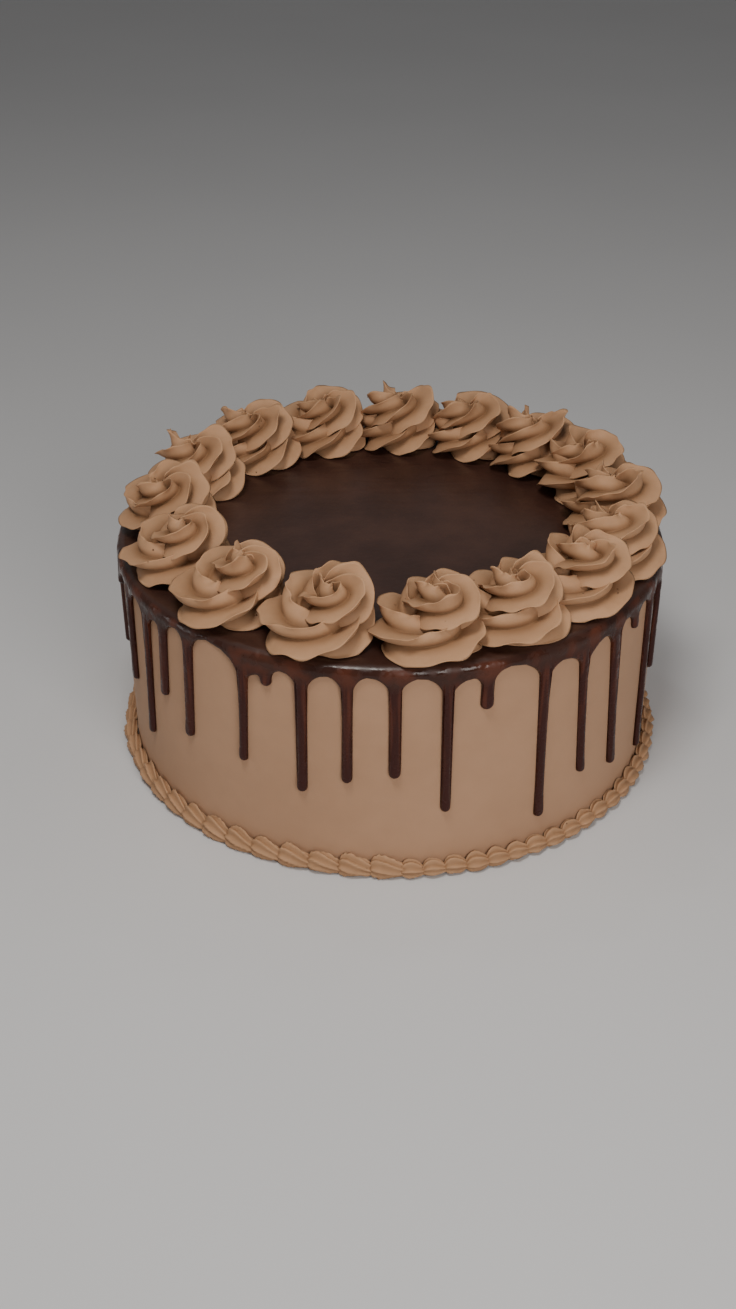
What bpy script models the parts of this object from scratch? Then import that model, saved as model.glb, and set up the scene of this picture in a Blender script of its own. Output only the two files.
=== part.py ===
"""A tall round chocolate cake with a dark dripping glaze, a ring of piped swirls and a shell border.

Metres, +Z up. The origin is the middle of the underside, and -Y is the front.
"""
import math

import bmesh
import bpy
import numpy as np

OBJECT_NAME = "chocolate_cake"

# Clearance between pieces that touch.
GAP = 0.0003

# The iced cake under the glaze.
CAKE_RADIUS = 0.1305
CAKE_HEIGHT = 0.1076
CAKE_EDGE = 0.0040
TURN_STEPS = 96
CORNER_STEPS = 3

# The glaze: a flat pool over the top that rounds over the rim, then runs.
GLAZE_TOP = 0.1096
GLAZE_PROUD = 0.0016
GLAZE_EDGE = 0.0056
GLAZE_LIP_Z = 0.1036
GLAZE_LIP_ROUND = 0.0005
GLAZE_CORE_RADIUS = 0.1245
GLAZE_CORE_Z = 0.1015
CUTTER_FOOT = -0.020

# One run of glaze.
DRIP_HALF_WIDTH = 0.0027
DRIP_PROUD = 0.0024
DRIP_START_Z = 0.1062
DRIP_FLARE = 0.0034
DRIP_FLARE_LENGTH = 0.0050
DRIP_FLARE_STATIONS = (0.0, 0.0034, 0.0074)
DRIP_STATION_STEP = 0.0020
DRIP_BULB = 0.0005
DRIP_BULB_LENGTH = 0.0050
# Turns of the round end, in degrees.
DRIP_END_TURNS = (35, 72)

# The runs that show, as angle at the rim, length below the top, and sideways wander, in degrees and metres.
FRONT_DRIPS = (
    (194.0, 0.016, 0.0), (203.5, 0.058, -1.0), (213.5, 0.077, -2.5), (220.0, 0.0465, -1.5),
    (227.9, 0.060, -1.6), (241.5, 0.0595, -1.0), (246.3, 0.012, 0.0), (253.6, 0.068, -0.6),
    (262.2, 0.060, -0.3), (271.0, 0.0565, 0.0), (280.8, 0.0763, 0.1), (288.4, 0.0245, 0.0),
    (300.4, 0.0915, 0.8), (309.8, 0.077, 2.1), (319.2, 0.085, 3.4), (327.0, 0.0165, 0.5),
    (335.5, 0.096, 2.0), (345.0, 0.062, 1.0),
)
# The runs at the back go on at about the same spacing.
BACK_DRIP_COUNT = 19
BACK_DRIP_LENGTHS = (0.016, 0.092)
DRIP_SEED = 11

# One piped swirl: the outer line from its foot to its tip as (radius, height), two tiers high.
SWIRL_LINE = (
    (0.0190, 0.0000), (0.0228, 0.0024), (0.0234, 0.0066), (0.0208, 0.0106), (0.0190, 0.0130), (0.0212, 0.0158),
    (0.0206, 0.0196), (0.0154, 0.0232), (0.0084, 0.0256), (0.0028, 0.0272),
)
SWIRL_TIP_Z = 0.0286
SWIRL_TEETH = 6
TOOTH_COLUMNS = (1.0, -0.30, -0.70)
# Depth of the teeth, and how far they have turned, at each ring of the line.
TOOTH_DEPTH = (0.05, 0.10, 0.12, 0.13, 0.12, 0.12, 0.14, 0.18, 0.24, 0.12)
TOOTH_TURN = (0, 16, 35, 56, 72, 88, 108, 134, 162, 186)

# Where the swirls stand, as (angle, distance from the middle, tip's sideways lean along X and along Y).
SWIRLS = (
    (-82.0, 0.1095, 0.010, 0.001), (-61.5, 0.1090, 0.006, 0.000), (-41.0, 0.1085, 0.006, 0.001),
    (-20.5, 0.1085, -0.001, 0.001), (1.0, 0.1075, -0.002, 0.000), (22.0, 0.1060, -0.002, 0.002),
    (43.0, 0.1030, -0.002, 0.001), (64.5, 0.1010, -0.003, 0.003), (87.5, 0.1005, -0.001, 0.002),
    (110.5, 0.1010, -0.001, 0.003), (134.0, 0.1030, -0.004, 0.002), (158.0, 0.1055, -0.003, 0.000),
    (180.5, 0.1080, -0.001, -0.002), (204.0, 0.1080, 0.004, -0.001), (229.0, 0.1080, 0.009, 0.002),
    (253.5, 0.1090, 0.007, 0.000),
)
SWIRL_SEED = 5

# The shell border round the foot, piped from the front to the right, its pitch growing on the way.
SHELL_START = -87.0
SHELL_PITCHES = (0.0114, 0.0145)
SHELL_DEPTH = 0.0074
SHELL_HEIGHT = 0.0088
# One shell from head to tail as shares of its full size.
SHELL_STEPS = (0.66, 1.00, 0.84)
# Section of a shell as (share of depth, share of height), counter-clockwise from the inner foot.
SHELL_SECTION = ((0.0, 0.0), (0.84, 0.0), (1.0, 0.42), (0.60, 1.0), (0.0, 0.88))

# Colours.
BUTTERCREAM = (0.42, 0.245, 0.145)
SWIRL_CREAM = (0.48, 0.285, 0.165)
BORDER_CREAM = (0.44, 0.245, 0.125)
GLAZE = (0.028, 0.011, 0.007)


def clear_scene():
    for old in list(bpy.data.objects):
        bpy.data.objects.remove(old, do_unlink=True)


def new_collection(name):
    group = bpy.data.collections.new(name)
    bpy.context.scene.collection.children.link(group)
    return group


def new_material(name, colour, roughness):
    material = bpy.data.materials.new(name)
    material.use_nodes = True
    shader = material.node_tree.nodes["Principled BSDF"]
    shader.inputs["Base Color"].default_value = (*colour, 1.0)
    shader.inputs["Roughness"].default_value = roughness
    shader.inputs["Metallic"].default_value = 0.0
    return material


def new_object(name, mesh, group, material=None):
    obj = bpy.data.objects.new(name, mesh)
    group.objects.link(obj)
    if material is not None:
        mesh.materials.clear()
        mesh.materials.append(material)
    return obj


def smooth(mesh, angle_degrees):
    mesh.shade_smooth()
    mesh.set_sharp_from_angle(angle=math.radians(angle_degrees))


def rounded_corner(radius, top, edge, steps):
    """Points of a quarter round from the flat top to the upright side."""
    centre_r = radius - edge
    centre_z = top - edge
    turns = [math.pi / 2 * k / steps for k in range(steps + 1)]
    return [(centre_r + edge * math.sin(t), centre_z + edge * math.cos(t)) for t in turns]


def turned(name, profile, group, material=None):
    """A solid of revolution from a profile of (radius, height) that runs from top to bottom."""
    mesh = bpy.data.meshes.new(name)
    points = [(r, 0.0, z) for r, z in profile]
    edges = [(k, k + 1) for k in range(len(points) - 1)]
    mesh.from_pydata(points, edges, [])
    obj = new_object(name, mesh, group, material)
    screw = obj.modifiers.new("Turn", "SCREW")
    screw.axis = "Z"
    screw.steps = TURN_STEPS
    screw.render_steps = TURN_STEPS
    screw.use_merge_vertices = True
    screw.merge_threshold = 0.00001
    screw.use_smooth_shade = True
    return obj


def evaluated_mesh(obj):
    graph = bpy.context.evaluated_depsgraph_get()
    return bpy.data.meshes.new_from_object(obj.evaluated_get(graph), depsgraph=graph)


def bake_modifiers(obj):
    """Keeps an object's modified shape as its own mesh."""
    mesh = evaluated_mesh(obj)
    obj.modifiers.clear()
    obj.data = mesh


def make_cake(group, material):
    corner = rounded_corner(CAKE_RADIUS, CAKE_HEIGHT, CAKE_EDGE, CORNER_STEPS)
    profile = [(0.0, CAKE_HEIGHT), *corner, (CAKE_RADIUS, 0.0), (0.0, 0.0)]
    return turned("cake", profile, group, material)


def cake_cutter(group):
    """The cake grown by the clearance, with its underside well below the longest run."""
    radius = CAKE_RADIUS + GAP
    top = CAKE_HEIGHT + GAP
    corner = rounded_corner(radius, top, CAKE_EDGE + GAP, CORNER_STEPS)
    profile = [(0.0, top), *corner, (radius, CUTTER_FOOT), (0.0, CUTTER_FOOT)]
    cutter = turned("cake_cutter", profile, group)
    cutter.hide_render = True
    cutter.display_type = "WIRE"
    return cutter


def drip_list():
    """All runs as (angle, length, wander): those of the front, then the ones that close the ring."""
    rng = np.random.default_rng(DRIP_SEED)
    first = FRONT_DRIPS[-1][0]
    span = FRONT_DRIPS[0][0] + 360.0 - first
    pitch = span / (BACK_DRIP_COUNT + 1)
    back = []
    for k in range(BACK_DRIP_COUNT):
        angle = first + pitch * (k + 1 + rng.uniform(-0.22, 0.22))
        back.append((angle, rng.uniform(*BACK_DRIP_LENGTHS), rng.uniform(-0.8, 0.8)))
    return list(FRONT_DRIPS) + back


def drip_half_width(down, length):
    """Half width of a run at a distance below its start: flared where it leaves the rim, thicker at its end."""
    flare = DRIP_FLARE * math.exp(-(down / DRIP_FLARE_LENGTH) ** 2)
    bulb = DRIP_BULB * math.exp(-((length - down - DRIP_BULB_LENGTH) / DRIP_BULB_LENGTH) ** 2)
    return DRIP_HALF_WIDTH + flare + bulb


def drip_stations(length):
    """Distances down the run: close together at the flare and at the round end."""
    last = length - DRIP_HALF_WIDTH - DRIP_BULB
    stations = [s for s in DRIP_FLARE_STATIONS if s < last - DRIP_STATION_STEP]
    neck = last - DRIP_BULB_LENGTH
    if neck > DRIP_FLARE_STATIONS[-1] + DRIP_STATION_STEP:
        stations.append(neck)
    return stations + [last]


def make_drip(angle, length, wander, group):
    """A tapering tube down the side with a round lower end, as a mesh with welded caps."""
    run = length - (GLAZE_TOP - DRIP_START_Z)
    rows = []
    for down in drip_stations(run):
        half = drip_half_width(down, run)
        rows.append((down, half, CAKE_RADIUS + DRIP_PROUD - half))
    last_down, half, distance = rows[-1]
    for degrees in DRIP_END_TURNS:
        turn = math.radians(degrees)
        rows.append((last_down + half * math.sin(turn), half * math.cos(turn), distance))
    curve = bpy.data.curves.new("drip", "CURVE")
    curve.dimensions = "3D"
    curve.bevel_depth = 1.0
    curve.bevel_resolution = 2
    curve.use_fill_caps = True
    spline = curve.splines.new("POLY")
    spline.points.add(len(rows) - 1)
    for point, (down, radius, distance) in zip(spline.points, rows):
        t = math.radians(angle + wander * down / run)
        point.co = (distance * math.cos(t), distance * math.sin(t), DRIP_START_Z - down, 1.0)
        point.radius = radius
    tube = bpy.data.objects.new("drip_curve", curve)
    group.objects.link(tube)
    bpy.context.view_layer.update()
    mesh = evaluated_mesh(tube)
    weld = bmesh.new()
    weld.from_mesh(mesh)
    bmesh.ops.remove_doubles(weld, verts=weld.verts, dist=0.000001)
    bmesh.ops.recalc_face_normals(weld, faces=weld.faces)
    weld.to_mesh(mesh)
    weld.free()
    drip = new_object("drip", mesh, group)
    drip.matrix_world = tube.matrix_world
    bpy.data.objects.remove(tube, do_unlink=True)
    return drip


def make_glaze(group, cutters, material):
    """The pool and its runs joined in one solid, hollowed by the cake that it covers."""
    rim = CAKE_RADIUS + GLAZE_PROUD
    corner = rounded_corner(rim, GLAZE_TOP, GLAZE_EDGE, CORNER_STEPS + 1)
    profile = [(0.0, GLAZE_TOP), *corner, (rim - GLAZE_LIP_ROUND, GLAZE_LIP_Z - GLAZE_LIP_ROUND)]
    profile += [(GLAZE_CORE_RADIUS, GLAZE_LIP_Z - GLAZE_LIP_ROUND), (GLAZE_CORE_RADIUS, GLAZE_CORE_Z)]
    profile += [(0.0, GLAZE_CORE_Z)]
    glaze = turned("ganache", profile, group, material)
    bake_modifiers(glaze)
    runs = new_collection("runs")
    for angle, length, wander in drip_list():
        make_drip(angle, length, wander, runs)
    join = glaze.modifiers.new("Join runs", "BOOLEAN")
    join.operation = "UNION"
    join.solver = "EXACT"
    join.operand_type = "COLLECTION"
    join.collection = runs
    bake_modifiers(glaze)
    for run in list(runs.objects):
        bpy.data.objects.remove(run, do_unlink=True)
    bpy.data.collections.remove(runs)
    hollow = glaze.modifiers.new("Hollow", "BOOLEAN")
    hollow.operation = "DIFFERENCE"
    hollow.solver = "EXACT"
    hollow.object = cake_cutter(cutters)
    return glaze


def swirl_place(index):
    angle, distance, _, _ = SWIRLS[index % len(SWIRLS)]
    turn = math.radians(angle)
    return np.array((distance * math.cos(turn), distance * math.sin(turn)))


def bisector(index, other):
    """The upright plane half way to a neighbour, as its inner normal and its clear distance."""
    here = swirl_place(index)
    step = swirl_place(other) - here
    length = np.linalg.norm(step)
    return step / length, (length - GAP) / 2


def held_back(points, centre, planes):
    """Pulls ring points straight towards their own centre until they clear the planes to both neighbours."""
    reach = points - centre
    share = np.ones(len(points))
    for normal, clear in planes:
        outward = reach @ normal
        room = clear - centre @ normal
        beyond = outward > room
        share[beyond] = np.minimum(share[beyond], room / outward[beyond])
    return centre + reach * share[:, None]


def swirl_mesh(index, rng):
    """A loft of six-toothed rings whose teeth turn clockwise on their way down and out."""
    _, _, lean_x, lean_y = SWIRLS[index]
    size = rng.uniform(0.975, 1.02)
    start = rng.uniform(0.0, 360.0)
    lean = np.array((lean_x, lean_y))
    planes = [bisector(index, index - 1), bisector(index, index + 1)]
    columns = SWIRL_TEETH * len(TOOTH_COLUMNS)
    teeth = np.tile(TOOTH_COLUMNS, SWIRL_TEETH)
    around = 2 * np.pi * np.arange(columns) / columns
    base_z = GLAZE_TOP + GAP
    rows = []
    for (radius, height), depth, turn in zip(SWIRL_LINE, TOOTH_DEPTH, TOOTH_TURN):
        theta = around + math.radians(start + turn)
        reach = radius * size * (1 + depth * teeth)
        centre = lean * (height / SWIRL_TIP_Z) ** 2
        flat = centre + np.stack([reach * np.cos(theta), reach * np.sin(theta)], axis=1)
        flat = held_back(flat, centre, planes)
        z = np.full((columns, 1), base_z + height * size)
        rows.append(np.hstack([flat, z]))
    vertices = np.vstack(rows)
    tip = np.array([[*lean, base_z + SWIRL_TIP_Z * size]])
    vertices = np.vstack([vertices, tip])
    vertices[:, :2] += swirl_place(index)
    faces = [tuple(range(columns - 1, -1, -1))]
    for row in range(len(rows) - 1):
        low = row * columns
        high = low + columns
        for k in range(columns):
            n = (k + 1) % columns
            faces.append((low + k, low + n, high + n))
            faces.append((low + k, high + n, high + k))
    last = (len(rows) - 1) * columns
    for k in range(columns):
        faces.append((last + k, last + (k + 1) % columns, len(vertices) - 1))
    mesh = bpy.data.meshes.new("swirl")
    mesh.from_pydata(vertices.tolist(), [], faces)
    return mesh


def make_swirls(group, material):
    rng = np.random.default_rng(SWIRL_SEED)
    for index in range(len(SWIRLS)):
        mesh = swirl_mesh(index, rng)
        smooth(mesh, 40)
        new_object(f"swirl_{index + 1:02d}", mesh, group, material)


def shell_columns():
    """Angle and size of every section round the foot."""
    middle = CAKE_RADIUS + SHELL_DEPTH / 2
    around = 2 * math.pi * middle
    small, large = SHELL_PITCHES
    count = round(around / ((small + large) / 2))
    pitches = [small + (large - small) * k / (count - 1) for k in range(count)]
    scale = around / sum(pitches)
    columns = []
    travelled = 0.0
    for pitch in pitches:
        for step, size in enumerate(SHELL_STEPS):
            along = travelled + pitch * scale * step / len(SHELL_STEPS)
            columns.append((math.radians(SHELL_START) + along / middle, size))
        travelled += pitch * scale
    return columns


def make_border(group, material):
    """A closed ring whose section swells and shrinks from shell to shell."""
    inner = CAKE_RADIUS + GAP
    columns = shell_columns()
    points = []
    for angle, size in columns:
        for depth, height in SHELL_SECTION:
            r = inner + SHELL_DEPTH * size * depth
            points.append((r * math.cos(angle), r * math.sin(angle), SHELL_HEIGHT * size * height))
    sides = len(SHELL_SECTION)
    faces = []
    for k in range(len(columns)):
        here = k * sides
        ahead = ((k + 1) % len(columns)) * sides
        for s in range(sides):
            n = (s + 1) % sides
            faces.append((here + s, ahead + s, ahead + n))
            faces.append((here + s, ahead + n, here + n))
    mesh = bpy.data.meshes.new("shell_border")
    mesh.from_pydata(points, [], faces)
    solid = bmesh.new()
    solid.from_mesh(mesh)
    bmesh.ops.recalc_face_normals(solid, faces=solid.faces)
    solid.to_mesh(mesh)
    solid.free()
    smooth(mesh, 50)
    return new_object("shell_border", mesh, group, material)


def main():
    clear_scene()
    parts = new_collection(OBJECT_NAME)
    cutters = new_collection("cutters")
    make_cake(parts, new_material("buttercream", BUTTERCREAM, 0.55))
    make_glaze(parts, cutters, new_material("ganache", GLAZE, 0.22))
    make_swirls(parts, new_material("swirl_cream", SWIRL_CREAM, 0.5))
    make_border(parts, new_material("border_cream", BORDER_CREAM, 0.55))


main()
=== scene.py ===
# %% [markdown]
# # A chocolate drip cake, finished over its solids
#
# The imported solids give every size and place: the iced cake, the glaze that runs down it, sixteen piped
# swirls and the shell border. Here each of them gets its fine surface and its finish. The frame is read
# first, because everything below is placed from it.

# %% Load the frame
import math

import bpy
import numpy as np
from mathutils import Matrix, Vector


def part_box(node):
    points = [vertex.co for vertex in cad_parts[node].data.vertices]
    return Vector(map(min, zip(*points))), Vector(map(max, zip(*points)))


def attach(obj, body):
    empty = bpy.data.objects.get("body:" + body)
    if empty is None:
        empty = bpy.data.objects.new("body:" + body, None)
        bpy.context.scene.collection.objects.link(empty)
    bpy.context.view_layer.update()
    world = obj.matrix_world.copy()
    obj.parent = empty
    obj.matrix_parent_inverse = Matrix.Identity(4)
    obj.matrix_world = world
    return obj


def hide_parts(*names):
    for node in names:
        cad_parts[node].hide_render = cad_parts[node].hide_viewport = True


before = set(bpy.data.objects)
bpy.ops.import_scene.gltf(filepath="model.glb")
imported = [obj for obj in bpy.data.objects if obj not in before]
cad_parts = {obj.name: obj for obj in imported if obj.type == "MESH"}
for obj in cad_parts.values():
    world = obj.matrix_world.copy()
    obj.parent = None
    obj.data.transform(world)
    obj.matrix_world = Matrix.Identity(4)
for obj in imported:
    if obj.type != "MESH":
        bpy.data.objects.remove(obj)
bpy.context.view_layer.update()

MM = 0.001

# %% [markdown]
# ## The camera
#
# The cake stands on the origin and its front faces -Y. The camera stands 65 cm in front of the middle,
# 44 cm up, and looks down at 32 degrees. Its place and its focal length were worked out once from the
# picture and are kept as real lengths. A long image side of 36 mm turns the focal length in pixels into
# a lens.

# %% Camera
EYE = Vector((-0.0023, -0.6505, 0.4429))
PITCH_DOWN = 32.15
TURN_LEFT = 0.75
ROLL = 0.17
FOCAL_PIXELS = 1493.4
IMAGE_HEIGHT = 1309
SENSOR_MM = 36.0


def make_camera():
    """Looks at the cake as the photo does."""
    data = bpy.data.cameras.new("camera")
    data.sensor_fit = "VERTICAL"
    data.sensor_height = SENSOR_MM
    data.lens = FOCAL_PIXELS / IMAGE_HEIGHT * SENSOR_MM
    data.clip_start = 0.01
    camera = bpy.data.objects.new("camera", data)
    bpy.context.scene.collection.objects.link(camera)
    turn = Matrix.Rotation(math.radians(TURN_LEFT), 4, "Z")
    tilt = Matrix.Rotation(math.radians(90 - PITCH_DOWN), 4, "X")
    roll = Matrix.Rotation(math.radians(-ROLL), 4, "Z")
    camera.matrix_world = Matrix.Translation(EYE) @ turn @ tilt @ roll
    bpy.context.scene.camera = camera
    return camera


camera = make_camera()
print("camera lens", round(camera.data.lens, 2), "mm at", [round(v, 3) for v in EYE])

# %% [markdown]
# ## From arrays to meshes
#
# Every piece below is a surface over a grid of rows and columns. Numpy computes all its points at once,
# and one function turns such a grid into a mesh. Its last column joins its first, as on a cake or a rope,
# and each end row is closed with a single middle point. All faces point outwards.

# %% Grid to mesh
def grid_quads(rows, columns):
    """Corner numbers of the quads between neighbouring rows, the last column joined to the first."""
    across = np.arange(columns)
    down = np.arange(rows - 1)[:, None] * columns
    after = (across + 1) % columns
    corners = [down + across, down + columns + across, down + columns + after, down + after]
    return np.stack(corners, axis=-1).reshape(-1, 4)


def pole_triangles(row_start, columns, pole, flip):
    """A fan from one row to its pole."""
    across = np.arange(columns)
    after = (across + 1) % columns
    a, b = (after, across) if flip else (across, after)
    return np.stack([row_start + a, row_start + b, np.full(columns, pole)], axis=-1)


def build_mesh(name, points, quads, triangles, marks=None):
    """A smooth mesh from arrays of points and faces, with named numbers on its points for the material."""
    mesh = bpy.data.meshes.new(name)
    mesh.vertices.add(len(points))
    mesh.vertices.foreach_set("co", np.ascontiguousarray(points, dtype=np.float32).ravel())
    corners = np.concatenate([quads.ravel(), triangles.ravel()]).astype(np.int32)
    mesh.loops.add(len(corners))
    mesh.loops.foreach_set("vertex_index", corners)
    starts = np.concatenate([np.arange(len(quads)) * 4, len(quads) * 4 + np.arange(len(triangles)) * 3])
    mesh.polygons.add(len(starts))
    mesh.polygons.foreach_set("loop_start", starts.astype(np.int32))
    mesh.update(calc_edges=True)
    mesh.validate()
    mesh.shade_smooth()
    for key, values in (marks or {}).items():
        layer = mesh.attributes.new(key, "FLOAT", "POINT")
        layer.data.foreach_set("value", np.ascontiguousarray(values, dtype=np.float32))
    return mesh


def closed_grid(name, grid, marks=None):
    """A closed surface from grid[row, column], wrapped round, with a pole at both ends."""
    rows, columns, _ = grid.shape
    flat = grid.reshape(-1, 3)
    poles = np.stack([grid[0].mean(axis=0), grid[-1].mean(axis=0)])
    points = np.concatenate([flat, poles])
    marks = {key: np.append(values.ravel(), [values[0].mean(), values[-1].mean()])
             for key, values in (marks or {}).items()}
    triangles = np.concatenate([
        pole_triangles(0, columns, rows * columns, False),
        pole_triangles((rows - 1) * columns, columns, rows * columns + 1, True),
    ])
    return build_mesh(name, points, grid_quads(rows, columns), triangles, marks)


def show(name, mesh, material, slot, *nodes):
    """Puts a finished mesh in the scene, riding on the one body and standing for its solids."""
    piece = bpy.data.objects.new(name, mesh)
    bpy.context.scene.collection.objects.link(piece)
    mesh.materials.append(material)
    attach(piece, "root")
    if nodes:
        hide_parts(*nodes)
    return piece


def smoothstep(low, high, x):
    """0 below low, 1 above high, and an S-shaped rise between."""
    t = np.clip((x - low) / (high - low), 0.0, 1.0)
    return t * t * (3 - 2 * t)


def ripple(x, y, rng, count, scale):
    """A smooth uneven field: a sum of sine waves in random directions, each about `scale` long."""
    total = 0.0
    for _ in range(count):
        way = rng.uniform(0, 2 * np.pi)
        wave = 2 * np.pi / (scale * rng.uniform(0.6, 1.8))
        total = total + np.sin((x * np.cos(way) + y * np.sin(way)) * wave + rng.uniform(0, 2 * np.pi))
    return total / count


print("helpers ready")

# %% [markdown]
# ## Shader sums as plain expressions
#
# A pattern in a material is arithmetic on sockets. Wrapping a socket in a small class lets the arithmetic
# be written as it is on paper: `1 - mask * 0.5` adds the Math nodes by itself. Any other node comes from
# `Bench.node`, which sets the node's options first and then its inputs.

# %% Shader bench
class Wire:
    """One output of a node, usable in sums with numbers and other wires."""

    def __init__(self, bench, socket):
        self.bench = bench
        self.socket = socket

    def __add__(self, other):
        return self.bench.math("ADD", self, other)

    def __sub__(self, other):
        return self.bench.math("SUBTRACT", self, other)

    def __mul__(self, other):
        return self.bench.math("MULTIPLY", self, other)

    def __rsub__(self, other):
        return self.bench.math("SUBTRACT", other, self)

    __radd__ = __add__
    __rmul__ = __mul__

    def between(self, low, high):
        """0 at low, 1 at high, with a soft start and end."""
        return self.bench.node("ShaderNodeMapRange", {"interpolation_type": "SMOOTHSTEP"},
                               {"Value": self, "From Min": low, "From Max": high}, "Result")


class Bench:
    """A material under construction, with its Principled shader."""

    def __init__(self, name):
        self.material = bpy.data.materials.new(name)
        self.material.use_nodes = True
        self.tree = self.material.node_tree
        self.shader = self.tree.nodes["Principled BSDF"]
        self.place = self.node("ShaderNodeTexCoord", {}, {}, "Object")

    def node(self, kind, settings, values, output=0):
        """A new node with its options and inputs set. What comes back is one of its outputs."""
        made = self.tree.nodes.new(kind)
        for key, value in settings.items():
            setattr(made, key, value)
        for key, value in values.items():
            self.plug(made.inputs[key], value)
        return Wire(self, made.outputs[output])

    def plug(self, socket, value):
        """Joins a wire to a socket, or gives the socket a value of its own."""
        if isinstance(value, Wire):
            self.tree.links.new(value.socket, socket)
        elif isinstance(value, tuple) and socket.type == "RGBA" and len(value) == 3:
            socket.default_value = (*value, 1.0)
        else:
            socket.default_value = value

    def math(self, operation, first, second):
        """A Math node on two wires or numbers."""
        return self.node("ShaderNodeMath", {"operation": operation}, {0: first, 1: second})

    def noise(self, scale, detail=2.0, roughness=0.5, stretch=(1.0, 1.0, 1.0)):
        """Soft noise from 0 to 1 on the object's own coordinates, `scale` blobs to a metre."""
        place = self.node("ShaderNodeMapping", {}, {"Vector": self.place, "Scale": stretch})
        return self.node("ShaderNodeTexNoise", {},
                         {"Vector": place, "Scale": scale, "Detail": detail, "Roughness": roughness}, "Fac")

    def mix(self, factor, first, second):
        """The first colour where factor is 0 and the second where it is 1."""
        return self.node("ShaderNodeMix", {"data_type": "RGBA"}, {0: factor, 6: first, 7: second}, 2)

    def mark(self, name):
        """A number that the mesh carries on its points."""
        return self.node("ShaderNodeAttribute", {"attribute_name": name}, {}, "Fac")

    def place_along(self, axis):
        """The place on the object along X, Y or Z, in metres."""
        return self.node("ShaderNodeSeparateXYZ", {}, {0: self.place}, axis)

    def bump(self, field, depth, strength=1.0, under=None):
        """Bends the surface by a field from 0 to 1, `depth` metres deep."""
        values = {"Height": field, "Distance": depth, "Strength": strength}
        if under is not None:
            values["Normal"] = under
        return self.node("ShaderNodeBump", {}, values, "Normal")

    def finish(self, **inputs):
        """Plugs the shader's inputs, written with underscores for spaces."""
        for key, value in inputs.items():
            self.plug(self.shader.inputs[key.replace("_", " ")], value)
        return self.material


print("bench ready")

# %% [markdown]
# ## Chocolate buttercream
#
# The icing is butter and sugar beaten with cocoa: matte, slightly translucent, and nearly even in colour.
# The wall is scraped smooth, so it shows only a faint cloudiness and the lightest drag marks. Piped cream
# keeps small air bubbles, bumped in as pits with painted shade in them. Its valleys get painted shade, and
# its thin edges a painted highlight, partly also a drier, lighter cream. All three creams share one recipe,
# with the depth of each effect as an argument.

# %% Cream materials
# Painted shade in a valley between two ridges: how much red, green and blue it keeps. It is warmer, as light
# that bounces in cream turns warmer.
VALLEY_PAINTED_SHADE = (0.50, 0.44, 0.37)
VALLEY_SHADE_SHARE = 0.85
# Painted highlight on a thin edge, partly also a drier cream: how much lighter it is, and how much of that it
# takes.
LIP_PAINTED_HIGHLIGHT = 1.25
LIP_HIGHLIGHT_SHARE = 0.45
# What a pit keeps of the cream's colour as painted shade, and the pit's depth in metres.
PIT_SHADE = 0.22
PIT_DEPTH = 0.0004
GRAIN_DEPTH = 0.00006
CREAM_SHINE = 0.14


def cream(name, colour, light, pits, pit_size, cloud_scale, roughness, drag=0.0, painted_relief_light=False):
    """Cream with cloudy colour, fine grain, and round pits that keep only the cores of a cell pattern. The
    pits get painted shade, and piped cream also gets painted shade in its valleys and a painted highlight on
    its thin edges.
    """
    bench = Bench(name)
    clouds = bench.noise(cloud_scale, detail=3.0)
    mottle = bench.noise(cloud_scale * 7, detail=2.0)
    shade = (clouds * 0.7 + mottle * 0.3).between(0.3, 0.7)
    base = bench.mix(shade, colour, light)
    cells = bench.node("ShaderNodeTexVoronoi", {"feature": "F1"},
                       {"Vector": bench.place, "Scale": 1 / pit_size, "Randomness": 1.0}, "Distance")
    sparse = bench.noise(0.45 / pit_size, detail=0.0).between(0.64, 0.70)
    core = (1 - cells.between(0.05, 0.12)) * sparse * pits
    # Painted shade in the pits; the bump below sinks them in as well.
    dark = tuple(c * PIT_SHADE for c in colour)
    base = bench.mix(core, base, dark)
    if painted_relief_light:
        # Painted shade in the valleys, where the mesh marks them deep.
        shaded = tuple(c * s for c, s in zip(colour, VALLEY_PAINTED_SHADE))
        base = bench.mix(bench.mark("deep") * VALLEY_SHADE_SHARE, base, shaded)
        # Painted highlight on the thin edges, partly also a drier, lighter cream.
        pale = tuple(c * LIP_PAINTED_HIGHLIGHT for c in light)
        base = bench.mix(bench.mark("lip") * LIP_HIGHLIGHT_SHARE, base, pale)
    grain = bench.noise(1400.0, detail=2.0)
    normal = bench.bump(grain, GRAIN_DEPTH, 0.5)
    if drag:
        marks = bench.noise(160.0, detail=2.0, stretch=(0.25, 0.25, 2.2))
        normal = bench.bump(marks, drag, 1.0, normal)
    normal = bench.bump(1 - core, PIT_DEPTH, 1.0, normal)
    dull = roughness + (mottle - 0.5) * 0.12
    return bench.finish(Base_Color=base, Roughness=dull, Normal=normal, Subsurface_Weight=0.05,
                        Subsurface_Radius=(0.0022, 0.0011, 0.0006), Subsurface_Scale=1.0, IOR=1.42,
                        Specular_IOR_Level=CREAM_SHINE)


wall_cream = cream("scraped_cream", (0.405, 0.239, 0.146), (0.448, 0.267, 0.165),
                   pits=0.0, pit_size=0.004, cloud_scale=14.0, roughness=0.58, drag=0.00006)
swirl_cream = cream("piped_cream", (0.390, 0.220, 0.121), (0.450, 0.259, 0.146),
                    pits=1.0, pit_size=0.0042, cloud_scale=40.0, roughness=0.52, painted_relief_light=True)
border_cream = cream("foot_cream", (0.390, 0.225, 0.125), (0.445, 0.259, 0.147),
                     pits=0.8, pit_size=0.0042, cloud_scale=60.0, roughness=0.56, painted_relief_light=True)
print("creams", wall_cream.name, swirl_cream.name, border_cream.name)

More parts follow.
